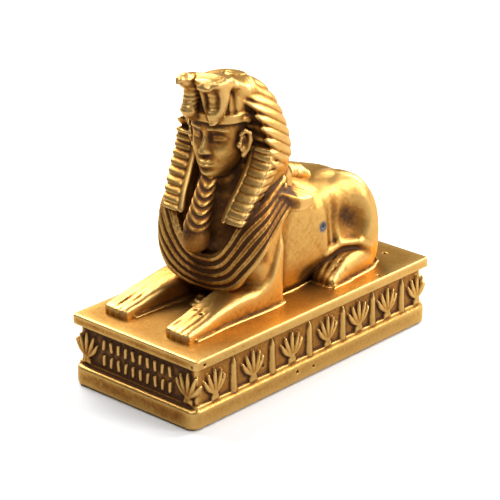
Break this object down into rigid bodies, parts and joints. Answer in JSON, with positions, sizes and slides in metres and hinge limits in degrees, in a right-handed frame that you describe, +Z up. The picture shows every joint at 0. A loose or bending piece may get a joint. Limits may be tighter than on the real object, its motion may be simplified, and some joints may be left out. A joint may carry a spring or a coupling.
{
  "type": "sphinx statue",
  "caption": "Small cast statue of a crouching sphinx with a royal head cloth, plaited beard and broad collar, made in one with its stepped and carved plinth",
  "frame": {"origin": "middle of the underside", "axes": "X across the plinth with the sphinx's left flank on +X, Y along the plinth with the sphinx looking along -Y, Z up"},
  "size_m": [0.0526, 0.1102, 0.0993],
  "materials": {
    "gold_paint": "satin metallic gold paint with brown wiped into the recesses, over cast resin"
  },
  "bodies": {
    "root": {"sphinx_on_plinth": "gold_paint"}
  },
  "joints": []
}
